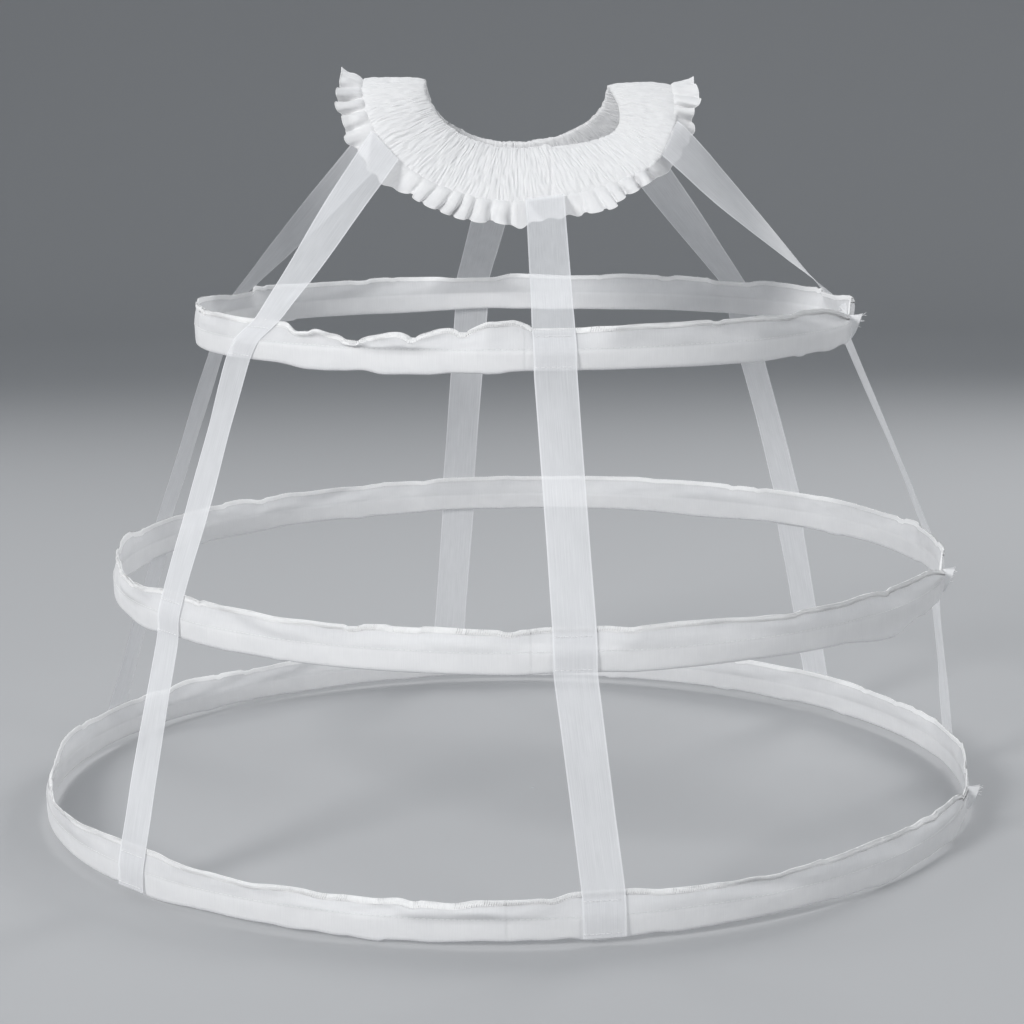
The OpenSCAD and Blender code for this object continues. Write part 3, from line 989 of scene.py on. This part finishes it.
def make_stitches(k, materials):
    """Stitches that hold a tape to each casing."""
    path, across = tape_frame(k)
    edges = [FIRST_STATION + STATIONS * i for i in EVERY_HOOP]
    places = [(edge, edge + 1, UPPER_ROW) for edge in edges]
    places += [(edge + 1, edge + 2, LOWER_ROW) for edge in edges]
    threads = []
    for first, last, share in places:
        middle = mix(path[first], path[last], share)
        level = unit(mix(across[first], across[last], share))
        out = unit(np.cross(path[last] - path[first], level))
        if out @ np.array([middle[0], middle[1], 0.0]) < 0:
            out = -out
        threads += stitch_row(middle, level, out, TAPE_W - STITCH_MARGIN)
    return thread_object(TAPES[k] + "_stitches", threads, STITCH_THREAD, materials)


def seam_slope(k):
    """How far the band's seam runs along a tape for each millimetre across it."""
    turn = WAIST_TURNS[k]
    along = tape_along(k)
    seam = unit(collar(turn + 0.5, 1.0) - collar(turn - 0.5, 1.0))
    slope = (seam @ along) / (seam @ np.cross(collar_out(turn, 1.0), along))
    return np.clip(slope, -SEAM_STEEPEST, SEAM_STEEPEST)


def tape_swing(k, u, side):
    """How far the free tape k waves, twists and cups, at shares of its length and width."""
    wave = TAPE_WAVE * noise(u, 0 * side + 0.5, 9, 1, TAPE_WAVE_SEED + k)
    twist = TAPE_TWIST * side * noise(u, 0 * side, 13, 1, TAPE_TWIST_SEED + k)
    cup = TAPE_CUP * (side ** 2 - 0.4) * noise(u, 0 * side, 5, 1, TAPE_CUP_SEED + k)
    return wave + twist + cup


def make_tape(k, materials):
    path, across = tape_frame(k)
    points, across, at, lengths = resample(path, across, TAPE_STEP)
    points = soften(points, 2)
    face = unit(np.cross(unit(np.gradient(points, axis=0)), across))
    held = np.concatenate([lengths[:2], lengths[FIRST_STATION:]])
    from_held = np.min(np.abs(at[:, None] - held[None, :]), axis=1)[:, None]
    free = ease((from_held - STILL) / STILL_EASE)
    side = np.linspace(-1, 1, TAPE_COLUMNS)[None, :]
    u = at[:, None] / lengths[-1]
    lift = free * tape_swing(k, u, side)
    half = TAPE_W / 2 * (1 - TAPE_WAIST * free)
    start = np.maximum(0, TAPE_OVERLAP - SEAM_MARGIN + seam_slope(k) * side * TAPE_W / 2)
    places = at[:, None] + start * (1 - ease(at[:, None] / SEAM_BLEND))
    spread = pick(across, at, places) * (side * half)[..., None]
    grid = pick(points, at, places) + spread + pick(face, at, places) * lift[..., None]
    cloth = cloth_places(side * TAPE_W / 2, places)
    piece = grid_object(TAPES[k] + "_tape_cloth", grid, cloth, materials["tape"])
    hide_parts(TAPES[k] + "_tape")
    stitches = make_stitches(k, materials)


# Materials

class Shader:
    """A material built node by node on a Principled shader."""

    def __init__(self, name, colour, roughness):
        self.material = bpy.data.materials.new(name)
        self.material.use_nodes = True
        self.tree = self.material.node_tree
        self.surface = self.tree.nodes["Principled BSDF"]
        self.surface.inputs["Base Color"].default_value = (*colour, 1)
        self.surface.inputs["Roughness"].default_value = roughness

    def connect(self, value, socket):
        if isinstance(value, (int, float)):
            socket.default_value = value
        else:
            self.tree.links.new(value, socket)

    def node(self, kind, **settings):
        made = self.tree.nodes.new(kind)
        for key, value in settings.items():
            setattr(made, key, value)
        return made

    def math(self, operation, a, b=0.0):
        made = self.node("ShaderNodeMath", operation=operation)
        self.connect(a, made.inputs[0])
        self.connect(b, made.inputs[1])
        return made.outputs[0]

    def about_zero(self, value, depth):
        """Noise from 0 to 1 turned into a swing about 0."""
        return self.math("MULTIPLY", self.math("SUBTRACT", value, 0.5), depth)

    def cloth_place(self):
        """The place on the cloth, in millimetres: across it and along it."""
        place = self.node("ShaderNodeAttribute", attribute_name="cloth")
        split = self.node("ShaderNodeSeparateXYZ")
        self.tree.links.new(place.outputs["Vector"], split.inputs[0])
        return split.outputs[0], split.outputs[1]

    def streaks(self, x, y, per_x, per_y, detail=2.0):
        """Noise drawn out along the cloth: cells per millimetre in each direction."""
        place = self.node("ShaderNodeCombineXYZ")
        self.connect(self.math("MULTIPLY", x, per_x), place.inputs[0])
        self.connect(self.math("MULTIPLY", y, per_y), place.inputs[1])
        return self.noise_at(place.outputs[0], 1.0, detail)

    def object_noise(self, scale, detail=2.0):
        """Noise in the object's own space: cells per metre."""
        place = self.node("ShaderNodeTexCoord")
        return self.noise_at(place.outputs["Object"], scale, detail)

    def noise_at(self, place, scale, detail):
        made = self.node("ShaderNodeTexNoise")
        made.inputs["Scale"].default_value = scale
        made.inputs["Detail"].default_value = detail
        self.tree.links.new(place, made.inputs["Vector"])
        return made.outputs["Fac"]

    def ramp(self, value, low, high, from_value, to_value):
        """A value mapped smoothly from low..high to from_value..to_value."""
        made = self.node("ShaderNodeMapRange", interpolation_type="SMOOTHSTEP")
        for socket, v in zip(made.inputs[:5], (value, low, high, from_value, to_value)):
            self.connect(v, socket)
        return made.outputs[0]

    def colours(self, value, dark, light):
        made = self.node("ShaderNodeMix", data_type="RGBA")
        self.connect(value, made.inputs["Factor"])
        made.inputs[6].default_value = (*dark, 1)
        made.inputs[7].default_value = (*light, 1)
        self.tree.links.new(made.outputs[2], self.surface.inputs["Base Color"])

    def bump(self, height, distance, strength):
        made = self.node("ShaderNodeBump")
        made.inputs["Strength"].default_value = strength
        made.inputs["Distance"].default_value = distance
        self.connect(height, made.inputs["Height"])
        self.tree.links.new(made.outputs[0], self.surface.inputs["Normal"])

    def alpha(self, value):
        self.connect(value, self.surface.inputs["Alpha"])

    def sheen(self, weight):
        self.surface.inputs["Sheen Weight"].default_value = weight
        self.surface.inputs["Sheen Roughness"].default_value = 0.5


# How much of the light the sheer cloth stops: tape, its selvedges, casing wall and doubled channel
TAPE_ALPHA = 0.60
SELVEDGE_ALPHA = 0.2
WALL_ALPHA = 0.63
CHANNEL_ALPHA = 0.82
# Distances from the tape's middle between which the selvedge starts
SELVEDGE_FROM = 11.3
SELVEDGE_TO = 12.1
# Half the width of the line along which wall turns into channel
CHANNEL_LINE = 0.8


def tape_material():
    """Sheer woven ribbon: lengthwise threads, and denser selvedges along both sides."""
    made = Shader("sheer_tape", (0.84, 0.85, 0.88), 0.6)
    across, along = made.cloth_place()
    threads = made.streaks(across, along, 2.6, 0.03)
    cloudy = made.streaks(across, along, 0.1, 0.04)
    from_middle = made.math("ABSOLUTE", across)
    selvedge = made.ramp(from_middle, SELVEDGE_FROM, SELVEDGE_TO, 0.0, SELVEDGE_ALPHA)
    weave = made.math("ADD", made.about_zero(threads, 0.18), made.about_zero(cloudy, 0.16))
    made.alpha(made.math("ADD", made.math("ADD", weave, TAPE_ALPHA), selvedge))
    made.bump(threads, 0.0002, 0.25)
    made.colours(threads, (0.84, 0.85, 0.875), (0.90, 0.905, 0.92))
    made.sheen(0.2)
    return made.material


def casing_material():
    """Sheer casing cloth with a fine weave and soft creases."""
    made = Shader("casing_cloth", (0.90, 0.905, 0.92), 0.65)
    from_edge, along = made.cloth_place()
    threads = made.streaks(from_edge, along, 0.1, 1.6)
    cloudy = made.streaks(from_edge, along, 0.09, 0.05, 3.0)
    weave = made.math("ADD", made.about_zero(threads, 0.1), made.about_zero(cloudy, 0.12))
    body = made.ramp(from_edge, FREE_H - CHANNEL_LINE, FREE_H + CHANNEL_LINE, WALL_ALPHA, CHANNEL_ALPHA)
    made.alpha(made.math("ADD", weave, body))
    made.bump(cloudy, 0.0012, 0.35)
    made.colours(cloudy, (0.88, 0.885, 0.90), (0.93, 0.93, 0.935))
    made.sheen(0.2)
    return made.material


def binding_material():
    """Dense white threads of the overlocked edge, laid side by side."""
    made = Shader("edge_binding", (0.9, 0.9, 0.9), 0.7)
    from_edge, along = made.cloth_place()
    threads = made.streaks(from_edge, along, 0.25, 1.3, 1.0)
    made.bump(threads, 0.0006, 0.6)
    made.colours(threads, (0.88, 0.88, 0.885), (0.96, 0.96, 0.955))
    made.sheen(0.3)
    return made.material


def gathered_material(name, fine):
    """Opaque crepe cloth with fine crinkles across its length, and painted shade that darkens the
    crinkles' hollows.
    """
    made = Shader(name, (0.86, 0.86, 0.86), 0.85)
    across, along = made.cloth_place()
    crinkle = made.streaks(across, along, 0.12, fine, 3.0)
    grain = made.streaks(across, along, 2.0, 2.0)
    # Painted shade: the colour follows the crinkle bump and is darker where it is low, in the hollows.
    made.colours(crinkle, (0.74, 0.74, 0.755), (0.87, 0.87, 0.865))
    made.bump(made.math("ADD", crinkle, made.math("MULTIPLY", grain, 0.25)), 0.0008, 0.5)
    made.sheen(0.3)
    return made.material


def thread_material():
    """White sewing thread with a fine twist."""
    made = Shader("sewing_thread", (0.9, 0.9, 0.9), 0.6)
    twist = made.object_noise(1400)
    made.colours(twist, (0.87, 0.87, 0.875), (0.96, 0.96, 0.955))
    made.bump(twist, 0.0002, 0.4)
    return made.material


def plastic_material(name, colour, shade):
    """Matte plastic strip with faint flow marks along it."""
    made = Shader(name, colour, 0.42)
    flow = made.object_noise(60, 4)
    made.colours(flow, shade, colour)
    made.connect(made.ramp(flow, 0.3, 0.7, 0.36, 0.5), made.surface.inputs["Roughness"])
    made.bump(flow, 0.0002, 0.2)
    return made.material


def make_materials():
    return {
        "tape": tape_material(),
        "casing": casing_material(),
        "binding": binding_material(),
        "band": gathered_material("band_cloth", 1.2),
        "ruffle": gathered_material("ruffle_cloth", 0.5),
        "thread": thread_material(),
        "bone": plastic_material("bone", (0.88, 0.88, 0.87), (0.80, 0.80, 0.79)),
        "joiner": plastic_material("joiner", (0.84, 0.85, 0.86), (0.76, 0.77, 0.78)),
        "elastic": gathered_material("elastic", 1.6),
    }


def paint_node(name, material):
    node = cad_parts[name]
    node.data.materials.clear()
    node.data.materials.append(material)


# Stage, lights and camera, in metres

FLOOR_Z = -0.4325
# The round floor is flat to this radius, then bends up into a wall
FLOOR_FLAT = 3.4
FLOOR_BEND = 1.6
WALL_TOP = 4.0
BEND_STEPS = 12
FLOOR_SECTIONS = 96

WORLD_COLOUR = (0.9, 0.95, 1.0, 1)
WORLD_STRENGTH = 0.5
LAMP_AIM = (0.0, 0.0, -0.15)
LAMP_SPREAD = 95.0
# Name, place, size and power of each lamp
LAMPS = (
    ("key_light", (-1.9, -2.2, 1.2), 1.0, 18),
    ("fill_light", (2.1, -1.9, 0.9), 1.6, 6),
    ("back_light", (1.6, 2.3, 1.2), 1.4, 12),
    ("back_fill", (-2.0, 2.0, 0.9), 1.6, 7),
)

CAMERA_PLACE = (-0.0125, -1.5415, 0.0269)
CAMERA_DOWN = 9.85
CAMERA_ROLL = -0.5
CAMERA_LENS = 82.01


def backdrop_profile():
    """Radius and height along the floor, the bend and the wall."""
    profile = [(0.001, 0.0), (1.5, 0.0), (FLOOR_FLAT, 0.0)]
    for a in range(1, BEND_STEPS + 1):
        angle = math.radians(a * 90 / BEND_STEPS)
        radius = FLOOR_FLAT + FLOOR_BEND * math.sin(angle)
        profile.append((radius, FLOOR_BEND - FLOOR_BEND * math.cos(angle)))
    profile.append((FLOOR_FLAT + FLOOR_BEND, WALL_TOP))
    return np.array(profile)


def backdrop_material():
    paper = Shader("backdrop_paper", (0.45, 0.45, 0.46), 0.9)
    mottle = paper.node("ShaderNodeTexNoise")
    mottle.inputs["Scale"].default_value = 3
    paper.colours(mottle.outputs["Fac"], (0.43, 0.435, 0.445), (0.46, 0.465, 0.475))
    return paper.material


def make_backdrop():
    """A round pale floor that curves up into a wall all round."""
    profile = backdrop_profile()
    turn = even_turns(FLOOR_SECTIONS)
    x = profile[None, :, 0] * sin_deg(turn)
    y = profile[None, :, 0] * cos_deg(turn)
    z = profile[None, :, 1] + FLOOR_Z + 0 * turn
    points = np.stack([x, y, z], -1).reshape(-1, 3)
    faces = grid_faces(FLOOR_SECTIONS, len(profile), close_rows=True)
    smooth_mesh("studio_floor", points, faces, backdrop_material())


def make_light(name, place, size, power):
    lamp = bpy.data.lights.new(name, "AREA")
    lamp.shape = "DISK"
    lamp.size = size
    lamp.spread = math.radians(LAMP_SPREAD)
    lamp.energy = power
    holder = bpy.data.objects.new(name, lamp)
    back = np.subtract(place, LAMP_AIM)
    holder.location = place
    yaw = math.atan2(back[0], -back[1])
    tilt = math.atan2(math.hypot(back[0], back[1]), back[2])
    holder.rotation_euler = Euler((tilt, 0, yaw))
    bpy.context.scene.collection.objects.link(holder)


def make_lights():
    world = bpy.data.worlds.new("studio_world")
    world.use_nodes = True
    sky = world.node_tree.nodes["Background"]
    sky.inputs["Color"].default_value = WORLD_COLOUR
    sky.inputs["Strength"].default_value = WORLD_STRENGTH
    bpy.context.scene.world = world
    for name, place, size, power in LAMPS:
        make_light(name, place, size, power)


def make_camera():
    """The photograph's camera."""
    lens = bpy.data.cameras.new("photo_camera")
    lens.sensor_width = 36
    lens.lens = CAMERA_LENS
    lens.clip_start = 0.05
    lens.clip_end = 50
    camera = bpy.data.objects.new("photo_camera", lens)
    pitch = Euler((math.radians(90 - CAMERA_DOWN), 0, 0)).to_matrix().to_4x4()
    roll = Matrix.Rotation(math.radians(CAMERA_ROLL), 4, "Z")
    camera.matrix_world = Matrix.Translation(CAMERA_PLACE) @ pitch @ roll
    bpy.context.scene.collection.objects.link(camera)
    bpy.context.scene.camera = camera


def dress():
    """Materials for the CAD's inner pieces, and cloth and thread for the rest."""
    materials = make_materials()
    for hoop in HOOPS:
        paint_node(hoop + "_hoop_bone", materials["bone"])
        paint_node(hoop + "_bone_joiner", materials["joiner"])
    paint_node("waist_elastic", materials["elastic"])
    for i in EVERY_HOOP:
        casing = make_casing(i, materials)
        trim = [make_binding(i, materials), make_overlock(i, materials), make_channel_seam(i, materials)]
        trim += make_tab(i, materials)
        if i == 0:
            trim.append(make_seam_fold(materials))
    band = make_band(materials)
    ruffle, hem = make_ruffle(materials)
    for k in EVERY_TAPE:
        make_tape(k, materials)


make_camera()
make_backdrop()
make_lights()
dress()
bpy.context.scene.view_settings.view_transform = "Standard"
